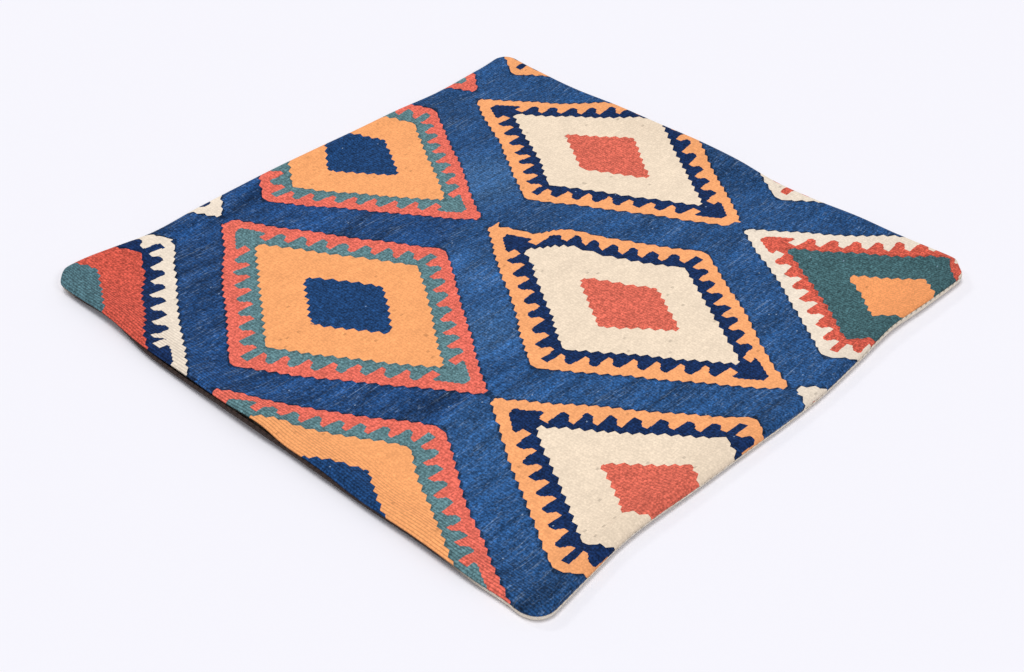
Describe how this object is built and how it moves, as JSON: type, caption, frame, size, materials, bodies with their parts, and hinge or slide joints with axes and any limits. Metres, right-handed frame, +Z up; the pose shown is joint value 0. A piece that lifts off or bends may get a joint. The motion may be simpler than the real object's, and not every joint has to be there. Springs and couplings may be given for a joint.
{
  "type": "kilim cushion cover",
  "caption": "Square empty cushion cover lying flat: diamond-patterned wool kilim front sewn to a plain cotton canvas back.",
  "frame": {"origin": "middle of the underside of the canvas back, where it lies on the surface", "axes": "+X along the side that the weft runs in, +Y along the warps, +Z up through the cover, out of the kilim face"},
  "size_m": [0.5018, 0.5027, 0.0123],
  "materials": {
    "kilim_wool": "matte weft-faced wool slit tapestry in indigo blue, navy, orange, coral, cream, teal and green",
    "cotton_canvas": "matte plain-woven natural cotton canvas"
  },
  "bodies": {
    "root": {"kilim_front": "kilim_wool", "canvas_back": "cotton_canvas"}
  },
  "joints": []
}
